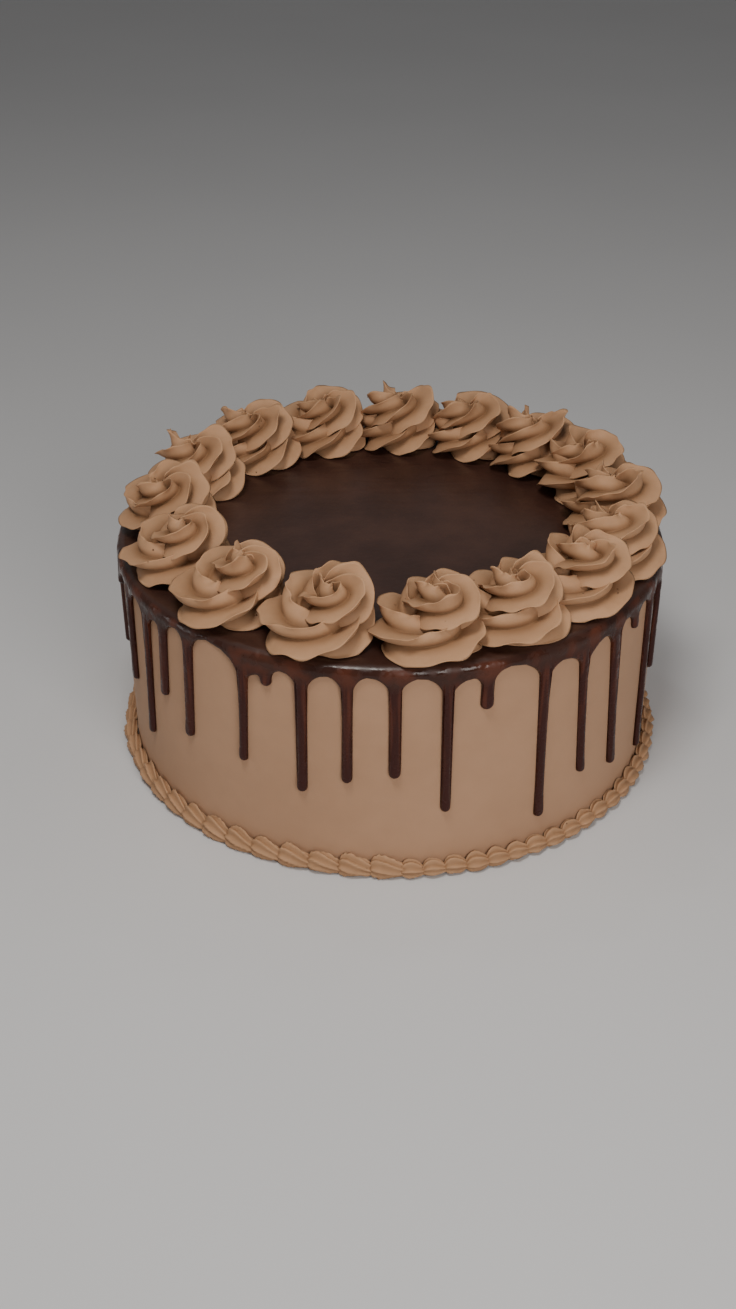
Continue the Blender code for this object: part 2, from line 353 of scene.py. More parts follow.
# %% [markdown]
# ## The glaze's finish
#
# Poured chocolate glaze is almost black-brown, with a warm red where light gets a little way in. It sets
# to a satin skin on the flat top, where the palette knife left faint arcs, and stays glossy where it was
# thick and wet: on the rounded rim and down the runs. Height tells the top, the rim and the runs apart,
# and the knife's arcs are kept to the back half of the top.

# %% Glaze material
GLAZE_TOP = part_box("ganache")[1][2]


def glaze_material():
    """Dark glaze: satin on top, glossy below the rim, rusty in patches there, and wine-dark on the runs."""
    bench = Bench("dark_glaze")
    high = bench.place_along("Z")
    on_top = high.between(GLAZE_TOP - 0.0016, GLAZE_TOP - 0.0003)
    on_run = 1 - high.between(GLAZE_TOP - 0.0140, GLAZE_TOP - 0.0060)
    clouds = bench.noise(22.0, detail=4.0, roughness=0.6)
    streaks = bench.noise(60.0, detail=3.0, stretch=(1.0, 0.35, 1.0))
    thin = bench.noise(85.0, detail=2.0).between(0.42, 0.68)
    dark = (0.0350, 0.0140, 0.0100)
    warm = (0.0580, 0.0235, 0.0155)
    rust = (0.1150, 0.0300, 0.0140)
    wine = (0.0360, 0.0064, 0.0038)
    base = bench.mix(clouds.between(0.35, 0.7), dark, warm)
    base = bench.mix((1 - on_top) * (1 - on_run) * thin * 0.6, base, rust)
    base = bench.mix(on_run * 0.85, base, wine)
    # Painted reflection: warm streaks on the upper runs, which reflect a dark room rather than the pale
    # floor.
    upper = high.between(GLAZE_TOP - 0.0700, GLAZE_TOP - 0.0120)
    painted_reflection_streaks = bench.noise(420.0, detail=1.0, stretch=(1.0, 1.0, 0.06)).between(0.46, 0.66)
    base = bench.mix(on_run * upper * painted_reflection_streaks * 0.55, base, rust)
    satin = 0.42 + (clouds - 0.5) * 0.22 + (streaks - 0.5) * 0.12
    patch = bench.noise(170.0, detail=2.0).between(0.40, 0.56)
    gloss = 0.10 + patch * 0.34
    rough = gloss + (satin - gloss) * on_top
    knife = bench.noise(95.0, detail=3.0, stretch=(0.28, 1.5, 1.0)).between(0.50, 0.62)
    knife = knife * bench.place_along("Y").between(-0.01, 0.07)
    smears = bench.bump(streaks * 0.5 + knife * on_top * 0.5, 0.0004, 0.6)
    ooze = bench.bump(bench.noise(300.0, detail=1.0), 0.0004, 0.8, smears)
    normal = bench.bump(bench.noise(420.0, detail=2.0), 0.00005, 0.6, ooze)
    return bench.finish(Base_Color=base, Roughness=rough, Normal=normal, IOR=1.45, Specular_IOR_Level=0.28,
                        Coat_Roughness=0.32, Coat_Weight=on_top * (0.42 + clouds * 0.42) * (1 - knife * 0.45))


dark_glaze = glaze_material()
print("glaze", dark_glaze.name, "top at", round(GLAZE_TOP * 1000, 2), "mm")

# %% [markdown]
# ## The iced cake
#
# Under its glaze the cake is a cylinder of scraped buttercream with a softly rounded top edge. A turned
# profile gives that at once: its rows run from the middle of the top, over the edge, down the wall and
# under to the middle of the foot. The wall gives way by fractions of a millimetre, as a hand-scraped one
# does, always inwards, so that it stays behind the glaze.

# %% Cake
CAKE_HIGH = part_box("cake")[1]
CAKE_RADIUS = CAKE_HIGH[0]
CAKE_HEIGHT = CAKE_HIGH[2]
CAKE_EDGE = 0.0028
FOOT_ROUND = 0.0006
# Radius of the smallest ring, round the middle of the top and of the foot.
POLE_RING = 0.004
WALL_ROWS = 60
CAKE_COLUMNS = 288
WALL_GIVE = 0.00025
CAKE_SEED = 3


def cake_profile():
    """(radius, height) down the cake: flat top, quarter round, wall with a small foot round, flat foot."""
    turn = np.linspace(0, np.pi / 2, 9)
    middle = CAKE_RADIUS - CAKE_EDGE
    corner_r = middle + CAKE_EDGE * np.sin(turn)
    corner_z = CAKE_HEIGHT - CAKE_EDGE + CAKE_EDGE * np.cos(turn)
    corner = np.stack([corner_r, corner_z], 1)
    top_r = np.linspace(POLE_RING, middle, 8)[:-1]
    top = np.stack([top_r, np.full(len(top_r), CAKE_HEIGHT)], 1)
    wall_z = np.linspace(CAKE_HEIGHT - CAKE_EDGE, FOOT_ROUND, WALL_ROWS)[1:]
    wall = np.stack([np.full(len(wall_z), CAKE_RADIUS), wall_z], 1)
    foot_r = np.linspace(CAKE_RADIUS - FOOT_ROUND, POLE_RING, 8)
    foot = np.stack([foot_r, np.zeros(len(foot_r))], 1)
    return np.concatenate([top, corner, wall, foot])


def make_cake():
    """Revolves the profile, then pulls the wall in by a soft ripple of up to 0.25 mm."""
    rng = np.random.default_rng(CAKE_SEED)
    profile = cake_profile()
    around = np.linspace(0, 2 * np.pi, CAKE_COLUMNS, endpoint=False)
    r = profile[:, 0:1]
    z = np.broadcast_to(profile[:, 1:2], (len(profile), len(around)))
    give = 0.5 + 0.5 * ripple(around[None] * CAKE_RADIUS, z * 0.8, rng, 9, 0.05)
    on_wall = smoothstep(0.9, 1.0, r / CAKE_RADIUS)
    r = r - WALL_GIVE * give * on_wall
    grid = np.stack([r * np.cos(around), r * np.sin(around), z], axis=-1)
    return show("iced_cake", closed_grid("iced_cake", grid), wall_cream, "buttercream", "cake")


cake = make_cake()
print("cake", len(cake.data.polygons), "faces, radius", round(CAKE_RADIUS * 1000, 1), "mm")

# %% [markdown]
# ## The glaze and its runs
#
# Warm glaze was poured on the top and pushed to the rim, where it rolled over and ran. Its lower edge is
# a row of arches between long thin runs, each with a slightly swollen round end. Joining tubes to a disc
# would leave creases, so the glaze is one height field laid over the cake's own surface.
#
# The surface is unrolled: x is the length round the wall and y the length down from where the top starts
# to round over. Two distances to the outline are worked out for every point, one to the arched hem and
# one to the nearest run. Their smooth maximum melts the runs into the hem, and the glaze's thickness
# follows from that distance as a quarter round. Each column of the grid ends exactly on the outline.

# %% Runs
# Angle round the cake in degrees, length below the top in mm and sideways wander in degrees. They are
# those of the solids, apart from the short tooth at 246.3 degrees, which is 4 mm longer.
FRONT_RUNS = (
    (194.0, 16.0, 0.0), (203.5, 58.0, -1.0), (213.5, 77.0, -2.5), (220.0, 46.5, -1.5),
    (227.9, 60.0, -1.6), (241.5, 59.5, -1.0), (246.3, 16.0, 0.0), (253.6, 68.0, -0.6),
    (262.2, 60.0, -0.3), (271.0, 56.5, 0.0), (280.8, 76.3, 0.1), (288.4, 24.5, 0.0),
    (300.4, 91.5, 0.8), (309.8, 77.0, 2.1), (319.2, 85.0, 3.4), (327.0, 16.5, 0.5),
    (335.5, 96.0, 2.0), (345.0, 62.0, 1.0),
)
BACK_RUN_COUNT = 19
RUN_SEED = 11


def run_list():
    """All runs in order round the cake, as (angle, length, wander): listed in front, drawn by rule behind."""
    rng = np.random.default_rng(RUN_SEED)
    first = FRONT_RUNS[-1][0]
    pitch = (FRONT_RUNS[0][0] + 360.0 - first) / (BACK_RUN_COUNT + 1)
    back = []
    for k in range(BACK_RUN_COUNT):
        angle = first + pitch * (k + 1 + rng.uniform(-0.22, 0.22))
        back.append((angle, rng.uniform(16.0, 92.0), rng.uniform(-0.8, 0.8)))
    runs = np.array(list(FRONT_RUNS) + back)
    runs[:, 0] %= 360.0
    return runs[np.argsort(runs[:, 0])]


RUNS = run_list()
ROUND_MM = 2 * np.pi * CAKE_RADIUS * 1000
RUN_X = RUNS[:, 0] / 360.0 * ROUND_MM
RUN_WANDER = RUNS[:, 2] / 360.0 * ROUND_MM
EDGE_MM = CAKE_EDGE * 1000
ARC_MM = EDGE_MM * np.pi / 2
TOP_MM = GLAZE_TOP * 1000
# Depth down the unrolled surface where each run ends.
RUN_END = RUNS[:, 1] - (TOP_MM - CAKE_HEIGHT * 1000) - EDGE_MM + ARC_MM
# Half widths in mm: a mean, a variation from run to run, and less for the teeth shorter than SHORT_TOOTH.
SHORT_TOOTH = 17.0
HALF_MEAN = 2.55
HALF_VARIES = 0.25
HALF_LESS = 0.55
IS_TOOTH = RUNS[:, 1] < SHORT_TOOTH
RUN_HALF = HALF_MEAN + HALF_VARIES * np.sin(np.arange(len(RUNS)) * 2.4) - HALF_LESS * IS_TOOTH
# How much wider a run is near its end, and which share of its width it loses on the way down.
RUN_BULB = 0.45
RUN_SLIM = 0.18
print(len(RUNS), "runs, the longest", RUNS[:, 1].max(), "mm")

# %% Outline of the glaze
HEM_SEED = 21
# Behind, where no arch was measured: mean depth of the hem, its variation and the length of its waves, in mm.
HEM_MEAN = 4.9
HEM_VARIES = 2.4
HEM_WAVE = 45.0
HEM_BLEND = 22
# How deep the skirts beside a run may pull the hem, and how far from it the hem and a run melt together.
SKIRT_LIMIT = 6.5
MELT = 3.6
# Height of the arches' tops above the floor in mm, at a few angles.
ARCHES = ((214.7, 104.5), (221.7, 106.4), (233.9, 106.2), (243.5, 102.5), (249.3, 104.9), (257.0, 104.3),
          (266.9, 106.2), (274.8, 105.9), (285.0, 103.0), (294.3, 104.8), (306.0, 101.2), (315.0, 101.8),
          (323.5, 103.5))


def wrapped(dx):
    """The shorter way round between two places on the wall."""
    return (dx + ROUND_MM / 2) % ROUND_MM - ROUND_MM / 2


def hem_depth(x):
    """Depth of the arched hem: measured in front, uneven but alike behind."""
    rng = np.random.default_rng(HEM_SEED)
    uneven = HEM_MEAN + HEM_VARIES * ripple(x, 0 * x, rng, 5, HEM_WAVE)
    places = np.array([angle for angle, _ in ARCHES]) / 360 * ROUND_MM
    depths = CAKE_HEIGHT * 1000 - EDGE_MM + ARC_MM - np.array([top for _, top in ARCHES])
    known = np.interp(x, places, depths)
    first, last = places[0], places[-1]
    inside = smoothstep(first - HEM_BLEND, first, x) * (1 - smoothstep(last, last + HEM_BLEND, x))
    return uneven + (known - uneven) * inside


def run_half_width(index, y):
    """Half width of a run at depth y: slowly tapering, then a little swollen just above its end."""
    swell = np.exp(-((RUN_END[index] - y - 4.0) / 4.5) ** 2)
    slim = RUN_SLIM * smoothstep(8.0, 55.0, y)
    return RUN_HALF[index] * (1 - slim) + RUN_BULB * swell


def outline_distance(x, y):
    """How far a point lies inside the glaze: the smooth maximum of the distances to hem and runs."""
    hem = hem_depth(x)
    skirt = 0.0
    best = np.full(np.broadcast(x, y).shape, -1e3)
    for k in range(len(RUNS)):
        beside = np.abs(wrapped(x - RUN_X[k] - RUN_WANDER[k] * y / RUN_END[k]))
        half = run_half_width(k, y)
        below = np.maximum(y - (RUN_END[k] - half), 0.0)
        best = np.maximum(best, half - np.hypot(beside, below))
        reach = 2.6 + 3.4 * min(RUN_END[k] / 60.0, 1.0)
        spread = 5.4 + 1.6 * np.sin(k * 1.9)
        skirt = skirt + reach * np.exp(-(np.maximum(beside - 1.5, 0) / spread) ** 1.6)
    hem = hem + np.minimum(skirt, SKIRT_LIMIT)
    gap = hem - y
    touch = np.maximum(MELT - np.abs(gap - best), 0.0) / MELT
    return np.maximum(gap, best) + touch ** 2 * MELT / 4


print("hem from", round(float(hem_depth(np.linspace(0, ROUND_MM, 500)).min()), 1), "mm")

# %% [markdown]
# The grid's columns crowd together at the sides of each run, where the outline turns, and follow the
# run's wander down the wall. Rows crowd together over the rim and at the round ends.

# %% Columns and rows of the glaze
INSIDE_SHARES = (0.0, 0.26, 0.50, 0.70, 0.85, 0.94, 0.985)
OUTSIDE_MM = (0.05, 0.16, 0.36, 0.7, 1.2, 1.9, 2.8, 4.0)
# Columns closer together than this are one, in mm.
LEAST_STEP = 0.02
LADDER_STEP = 0.2


def glaze_columns():
    """Places round the wall, in mm at the rim: shares of each run's half width, then steps away from it."""
    columns = []
    for k in range(len(RUNS)):
        half = RUN_HALF[k]
        offsets = [s * half for s in INSIDE_SHARES] + [half + d for d in OUTSIDE_MM]
        left = wrapped(RUN_X[k] - RUN_X[k - 1]) / 2
        right = wrapped(RUN_X[(k + 1) % len(RUNS)] - RUN_X[k]) / 2
        for side, room in ((-1, left), (1, right)):
            near = [side * d for d in offsets if d < room - 0.25]
            columns += [RUN_X[k] + d for d in near if d or side > 0]
            if room > half + OUTSIDE_MM[-1] + 2.0:
                columns.append(RUN_X[k] + side * (room + half + OUTSIDE_MM[-1]) / 2)
    columns = np.sort(np.array(columns) % ROUND_MM)
    return columns[np.concatenate([[True], np.diff(columns) > LEAST_STEP])]


def bent_columns(start, y):
    """Where the columns that start at the rim lie at depth y, following each run's wander and width."""
    order = np.concatenate([RUN_X - ROUND_MM, RUN_X, RUN_X + ROUND_MM])
    slope = np.tile(RUN_WANDER / RUN_END, 3)
    shift = np.interp(start, order, slope) * y
    widen = np.zeros(np.broadcast(start, y).shape)
    for k in range(len(RUNS)):
        beside = wrapped(start - RUN_X[k])
        share = np.clip(np.abs(beside) / RUN_HALF[k], 0, 1)
        fade = 1 - smoothstep(RUN_HALF[k] + 0.4, RUN_HALF[k] + 4.0, np.abs(beside))
        widen = widen + (run_half_width(k, y) - RUN_HALF[k]) * share * fade * np.sign(beside)
    return start + shift + widen


def glaze_ends(start):
    """Depth at which every column meets the outline: the last crossing on a fine ladder of depths."""
    ladder = np.arange(0.0, RUN_END.max() + 2.0, LADDER_STEP)[:, None]
    inside = outline_distance(bent_columns(start[None], ladder), ladder)
    last = len(ladder) - 1 - np.argmax(inside[::-1] > 0, axis=0)
    last = np.minimum(last, len(ladder) - 2)
    pick = np.arange(len(start))
    a, b = inside[last, pick], inside[last + 1, pick]
    return ladder[last, 0] + LADDER_STEP * a / (a - b)


GLAZE_START = glaze_columns()
GLAZE_END = glaze_ends(GLAZE_START)
least_end, most_end = round(GLAZE_END.min(), 1), round(GLAZE_END.max(), 1)
print(len(GLAZE_START), "columns, ends from", least_end, "to", most_end, "mm")

# %% Glaze surface
TOP_THICK = TOP_MM - CAKE_HEIGHT * 1000
HEM_THICK = 1.7
RUN_THICK = 2.35
EDGE_THICK = 0.10
SKIN_LIFT = 0.04
# Distance from the outline over which the glaze rises to its full thickness.
HEM_ROUND = 1.75
TOP_SHARES = (0.03, 0.10, 0.2, 0.32, 0.44, 0.56, 0.68, 0.78, 0.87, 0.94, 0.98)
TOP_DIP = 0.00010
GLAZE_SEED = 8


def over_cake(x, y, lift):
    """A point of the unrolled surface, lifted off the cake: flat top, quarter round, then the wall."""
    radius = CAKE_RADIUS * 1000
    turn = np.clip(y / EDGE_MM, 0, np.pi / 2)
    r = radius - EDGE_MM + (EDGE_MM + lift) * np.sin(turn) + np.minimum(y, 0)
    z = CAKE_HEIGHT * 1000 - EDGE_MM + (EDGE_MM + lift) * np.cos(turn) - np.maximum(y - ARC_MM, 0)
    angle = x / ROUND_MM * 2 * np.pi
    flat = [r * np.cos(angle), r * np.sin(angle), z + 0 * angle]
    return np.stack(flat, axis=-1) * MM


def glaze_thickness(x, y):
    """A quarter round by distance from the outline, thicker on the runs, melting into the flat top."""
    inside = np.maximum(outline_distance(x, y), 0.0)
    bulge = np.sqrt(np.clip(1 - (1 - np.minimum(inside / HEM_ROUND, 1.0)) ** 2, 0, 1))
    on_run = smoothstep(5.0, 13.0, y)
    side = EDGE_THICK + (HEM_THICK + (RUN_THICK - HEM_THICK) * on_run - EDGE_THICK) * bulge
    on_top = 1 - smoothstep(0.0, 4.5, y)
    return side + (np.maximum(side, TOP_THICK) - side) * on_top


def glaze_rows(ends):
    """Depths from the rim to each column's end: nearly level over the rim, then shares, dense at the tip."""
    ladder = np.concatenate([np.linspace(0, 6.6, 16), [7.4, 8.4]])[:, None]
    room = 0.86 * ends
    over = ladder / (1 + (ladder / room) ** 5) ** 0.2
    start = over[-1]
    tip = np.minimum(6.0, (ends - start) * 0.6)
    middle = start + np.linspace(0, 1, 11)[1:-1, None] * (ends - tip - start)
    tip_rows = ends - tip * (1 - np.linspace(0, 1, 13)[:, None]) ** 1.5
    return np.concatenate([over, middle, tip_rows])


def make_glaze():
    """Outer skin with its runs, and an inner skin just off the cake, sewn together along the outline."""
    rng = np.random.default_rng(GLAZE_SEED)
    depth = glaze_rows(GLAZE_END)
    x = bent_columns(GLAZE_START[None], depth)
    side = over_cake(x, depth, glaze_thickness(x, depth))
    reach = CAKE_RADIUS * 1000 - EDGE_MM
    flat_y = -reach + reach * np.array(TOP_SHARES)[:, None]
    top_x = np.broadcast_to(GLAZE_START, (len(flat_y), len(GLAZE_START)))
    top = over_cake(top_x, flat_y, TOP_THICK)
    wave = ripple(top[..., 0] * 1000, top[..., 1] * 1000, rng, 7, 60.0)
    top[..., 2] -= TOP_DIP * (0.5 + 0.5 * wave) * smoothstep(0.0, -12.0, flat_y)
    outer = np.concatenate([top, side])
    inner_y = (np.linspace(0, 1, 6)[:, None] * GLAZE_END * 0.98)[::-1]
    inner_x = bent_columns(GLAZE_START[None], inner_y)
    inner = over_cake(inner_x, inner_y, np.full(inner_x.shape, SKIN_LIFT))
    flat_back = -reach * np.array([0.4, 0.8, 0.97])[:, None]
    under_x = np.broadcast_to(GLAZE_START, (len(flat_back), len(GLAZE_START)))
    under = over_cake(under_x, flat_back, SKIN_LIFT)
    grid = np.concatenate([outer, inner, under])
    return show("glaze", closed_grid("glaze", grid), dark_glaze, "ganache", "ganache")


glaze = make_glaze()
print("glaze", len(glaze.data.polygons), "faces")

# %% [markdown]
# ## The piped swirls
#
# A swirl is one rope of cream pressed through a five-toothed star nozzle, laid in a ring and then in a
# smaller ring on top. The nozzle never turns in the hand while it travels round, so its teeth turn once
# per lap against the rope: each ridge starts at the rope's inner side, climbs over it and ends at its
# outer foot half a lap later. That is what makes the pinwheel. The surface is therefore a star-shaped
# section carried along a clockwise spiral, with the star held still.
#
# Columns of the grid stay on the same tooth, so that every crest is one sharp line. Half of the swirls
# end in a tip pulled straight up, and in the others the rope dives into the hole in the middle. Where two
# swirls meet, each is pressed flat just past the plane between them.

# %% Swirl places
SWIRL_COUNT = 16
SWIRL_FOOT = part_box("swirl_01")[0][2]
# Angle and distance from the middle, as on the solids, then how far the tip leans along X and along Y. The
# leans of the first two and the last three differ from the solids' by 1 to 5 mm.
SWIRLS = (
    (-82.0, 109.5, 8.0, 1.0), (-61.5, 109.0, 2.0, 0.0), (-41.0, 108.5, 6.0, 1.0),
    (-20.5, 108.5, -1.0, 1.0), (1.0, 107.5, -2.0, 0.0), (22.0, 106.0, -2.0, 2.0),
    (43.0, 103.0, -2.0, 1.0), (64.5, 101.0, -3.0, 3.0), (87.5, 100.5, -1.0, 2.0),
    (110.5, 101.0, -1.0, 3.0), (134.0, 103.0, -4.0, 2.0), (158.0, 105.5, -3.0, 0.0),
    (180.5, 108.0, -1.0, -2.0), (204.0, 108.0, 9.0, -1.0), (229.0, 108.0, 10.0, 2.0),
    (253.5, 109.0, 9.0, 0.0),
)
# How far a swirl may reach past the plane to its neighbour, and over which length it is squeezed, in mm.
PRESS_PAST = 2.2
PRESS_SOFT = 3.0


def swirl_middle(index):
    """Where a swirl stands, in mm from the cake's middle."""
    angle, distance = SWIRLS[index % SWIRL_COUNT][:2]
    turn = math.radians(angle)
    return np.array([distance * math.cos(turn), distance * math.sin(turn)])


def pressed_back(points, middle, index):
    """Squeezes what reaches past the plane to each neighbour into the last few millimetres before it."""
    for other in (index - 1, index + 1):
        step = swirl_middle(other) - middle
        length = np.linalg.norm(step)
        normal = step / length
        limit = length / 2 + PRESS_PAST
        reach = points @ normal
        over = np.maximum(reach - (limit - PRESS_SOFT), 0.0)
        kept = PRESS_SOFT * (1 - np.exp(-over / PRESS_SOFT))
        points = points + ((kept - over)[..., None] * normal)
    return points


print("swirls stand at", round(SWIRL_FOOT * 1000, 2), "mm")

# %% [markdown]
# The section has five teeth. Each falls from its crest over a round shoulder into a valley and rises to
# the next crest, which ends in a thin lip.

# %% Swirl section
TEETH = 5
TOOTH_STEPS = 18
# One tooth: where its valley lies from crest to crest, then the sizes of valley, crest and thin lip as
# shares of the rope's.
VALLEY_PLACE = 0.46
VALLEY_SIZE = 0.39
CREST_SIZE = 0.87
LIP_SIZE = 0.13
LIP_SPREAD = 0.05


def tooth_form(u):
    """Section radius over one tooth, u from crest to crest: a shoulder, a valley, a rise and a thin lip."""
    shoulder = 1 - np.clip(u / VALLEY_PLACE, 0, 1) ** 1.5
    rise = np.clip((u - VALLEY_PLACE) / (1 - VALLEY_PLACE), 0, 1) ** 1.5
    lip = np.exp(-np.minimum(u, 1 - u) / LIP_SPREAD)
    return VALLEY_SIZE + (CREST_SIZE - VALLEY_SIZE) * np.maximum(shoulder, rise) + LIP_SIZE * lip


print("a tooth's size goes from", VALLEY_SIZE, "to", round(CREST_SIZE + LIP_SIZE, 2), "of the rope's")

# %% [markdown]
# The rope's middle line is a spiral of nearly two laps: a wide flat ring, a step up, and a smaller ring that
# closes towards the middle. After the last lap the end is pulled, up or down. Each swirl draws its own
# start, width and waves from its own seed.

# %% Swirl path
LAPS = 1.98
WINDING_STEPS = 215
PULL_STEPS = 34
# Radius and rope size of the lower and the upper ring, then the lower one's height and the step up, in mm.
RING_RADII = (11.9, 10.4)
ROPE_SIZES = (13.4, 11.9)
RING_HEIGHT = 5.2
STEP_UP = 11.4
# Lap at which the upper ring begins to close.
CLOSING_START = 1.4
# Height of the section over its width in the lower ring, and how much rounder it is in the upper one.
FLAT_LOWER = 0.72
FLAT_MORE = 0.12
# The pulled end thins by this power, to a small ring that stays open.
THIN_FROM = 1.06
THIN_BY = 1.04
THIN_POWER = 1.7
STYLE_SEED = 100
# Swirls a little wider than the rest, and swirls whose rope ends by diving into the hole in the middle.
WIDE_SWIRLS = (0, 13, 14, 15)
HOLLOW_SWIRLS = (1, 3, 5, 7, 9, 12, 13, 15)


def swirl_style(index):
    """What differs from swirl to swirl. In front the upper ring is smaller and set back.

    "end" and "last" are the radius and the rope size of the last lap, "rise" is its height over the ring
    and "pull" is how far the end is pulled, down if negative. A hollow of 1 gives an end that dives.
    """
    rng = np.random.default_rng(STYLE_SEED + index)
    front = max(0.0, -math.sin(math.radians(SWIRLS[index][0])))
    hollow = 1.0 if index in HOLLOW_SWIRLS else rng.uniform(0.0, 0.30)
    return {
        "wide": rng.uniform(0.98, 1.04) + (0.03 if index in WIDE_SWIRLS else 0.0),
        "upper": 1.0 - 0.08 * front,
        "back": 3.2 * front,
        "start": math.radians(rng.uniform(75, 165)),
        "tooth": rng.uniform(0, 2 * np.pi),
        "end": 4.6 + 0.8 * hollow,
        "last": 11.6 - 2.0 * hollow,
        "rise": 0.6 - 2.6 * hollow,
        "pull": 9.8 - 13.3 * hollow,
        "waves": rng.uniform(0, 2 * np.pi, 6),
        "crowded": SWIRLS[index][0] + rng.uniform(130, 170),
    }


def swirl_path(t, pull, style):
    """Radius, height, rope size and flatness by laps t: wide ring, step up, smaller ring, end."""
    wide, upper = style["wide"], style["upper"]
    closing = smoothstep(CLOSING_START, LAPS, t)
    lower_radius, upper_radius = RING_RADII
    lower_rope, upper_rope = ROPE_SIZES
    radius = wide * (lower_radius + (upper_radius * upper - lower_radius) * smoothstep(0.7, 1.35, t))
    radius = radius + (style["end"] - radius) * closing
    height = RING_HEIGHT + 0.8 * smoothstep(0.0, 0.4, t) + STEP_UP * smoothstep(0.72, 1.28, t)
    height = height + style["rise"] * closing
    height = height + style["pull"] * pull
    rope = wide * (lower_rope + (upper_rope * upper - lower_rope) * smoothstep(0.8, 1.35, t))
    rope = rope + (style["last"] - rope) * closing
    thin = ((THIN_FROM - pull) / THIN_BY) ** THIN_POWER
    rope = rope * (0.30 + 0.70 * smoothstep(0.0, 0.14, t)) * thin
    flat = FLAT_LOWER + FLAT_MORE * smoothstep(0.7, 1.3, t)
    return radius, height, rope, flat + (1 - flat) * smoothstep(0, 0.3, pull)


def rope_line(t, pull, lean, style):
    """Middle of the rope in mm, its size and flatness, its turn, and the two directions its section spans."""
    wave = style["waves"]
    radius, height, rope, flatness = swirl_path(t, pull, style)
    radius = radius * (1 + 0.03 * np.sin(t * 5.1 + wave[0]) + 0.02 * np.sin(t * 11.7 + wave[1]))
    rope = rope * (1 + 0.035 * np.sin(t * 7.3 + wave[2]))
    turn = style["start"] - 2 * np.pi * (t + 0.12 * pull)
    drift = smoothstep(0.8, LAPS, t)[:, None] * lean
    drift[:, 1] += style["back"] * smoothstep(0.7, 1.4, t) * (1 - 0.5 * smoothstep(1.6, LAPS, t))
    flat = np.stack([radius * np.cos(turn), radius * np.sin(turn)], axis=1) + drift
    centre = np.concatenate([flat, height[:, None]], axis=1)
    zero = np.zeros_like(turn)
    ahead = np.stack([np.sin(turn), -np.cos(turn), zero], axis=1)
    outward = np.stack([np.cos(turn), np.sin(turn), zero], axis=1)
    tilt = np.pi / 2 * (1 - smoothstep(0.0, 0.35, pull))[:, None]
    upward = np.sin(tilt) * (0.0, 0.0, 1.0) - math.copysign(1.0, style["pull"]) * np.cos(tilt) * ahead
    return centre, rope, flatness, turn, upward, outward


print(len(HOLLOW_SWIRLS), "of", SWIRL_COUNT, "swirls end in a hole, the others in a tip")

# %% [markdown]
# Now the section goes along the line. Subtracting the rope's turn from the section's angle holds the star
# still in the world. The crests waver a little, crowd together on the inner side of the ring, and in the
# upper ring are drawn out to small peaks.

# %% Swirl surface
# How much deeper the folds get where the upper ring closes.
CLOSING_DEPTH = 0.28
# How far the crests waver in size and swing from their line.
FRILL = 0.05
CURL = 0.06
CURL_UNEVEN = 0.08
# How unevenly the ridges follow one another round a lap: broad bands outside, close ridges inside the ring.
CROWDING = 0.50
# Crests in the upper ring are drawn out to small points where they pass this angle from straight up.
PEAK_ANGLE = 0.35
PEAK_RISE = 0.38
PEAK_SPREAD = 0.30
# Below this height in mm the cream spreads flat on the glaze.
SPREAD_MM = 0.5
# Section size at which the painted shade of the valleys starts.
SHADE_START = 0.72


def star_section(t, pull, turn, style):
    """Along the rope, for every point of the star: angle, tooth form, its size with a blunt start, how far
    it is drawn out, and how near it is to a crest.
    """
    wave = style["waves"]
    share = np.arange(TOOTH_STEPS) / TOOTH_STEPS
    u = 0.5 + 0.5 * np.sign(share - 0.5) * (1 - (1 - np.abs(2 * share - 1)) ** 1.5)
    a = (np.arange(TEETH)[:, None] + u[None]).ravel() * 2 * np.pi / TEETH
    form = np.tile(tooth_form(u), TEETH)
    lip = np.tile(np.abs(2 * u - 1) ** 6, TEETH)
    blunt = 1 - smoothstep(0.0, 0.1, t)[:, None]
    closing = smoothstep(CLOSING_START, LAPS, t)[:, None]
    form = 1 - (1 - form) * (1 + CLOSING_DEPTH * closing)
    frill = np.sin(t[:, None] * 62.0 + wave[3] + a * 2) * np.sin(t[:, None] * 9.0 + wave[4] + a) * lip
    curl = lip * (CURL * np.sin(t * 31.0 + wave[5])[:, None] + CURL_UNEVEN * frill)
    crossing = turn + CROWDING * np.sin(turn - math.radians(style["crowded"]))
    angle = a[None] + style["tooth"] - crossing[:, None] + curl
    from_peak = (angle - PEAK_ANGLE + np.pi) % (2 * np.pi) - np.pi
    pulled = (0.5 + 0.5 * np.sin(t * 10.7 + wave[1])) * smoothstep(0.9, 1.3, t) * (1 - pull)
    peak = lip * np.exp(-(from_peak / PEAK_SPREAD) ** 2) * pulled[:, None]
    drawn = 1 + FRILL * frill + PEAK_RISE * peak
    return angle, form, form + (0.7 - form) * blunt, drawn, lip


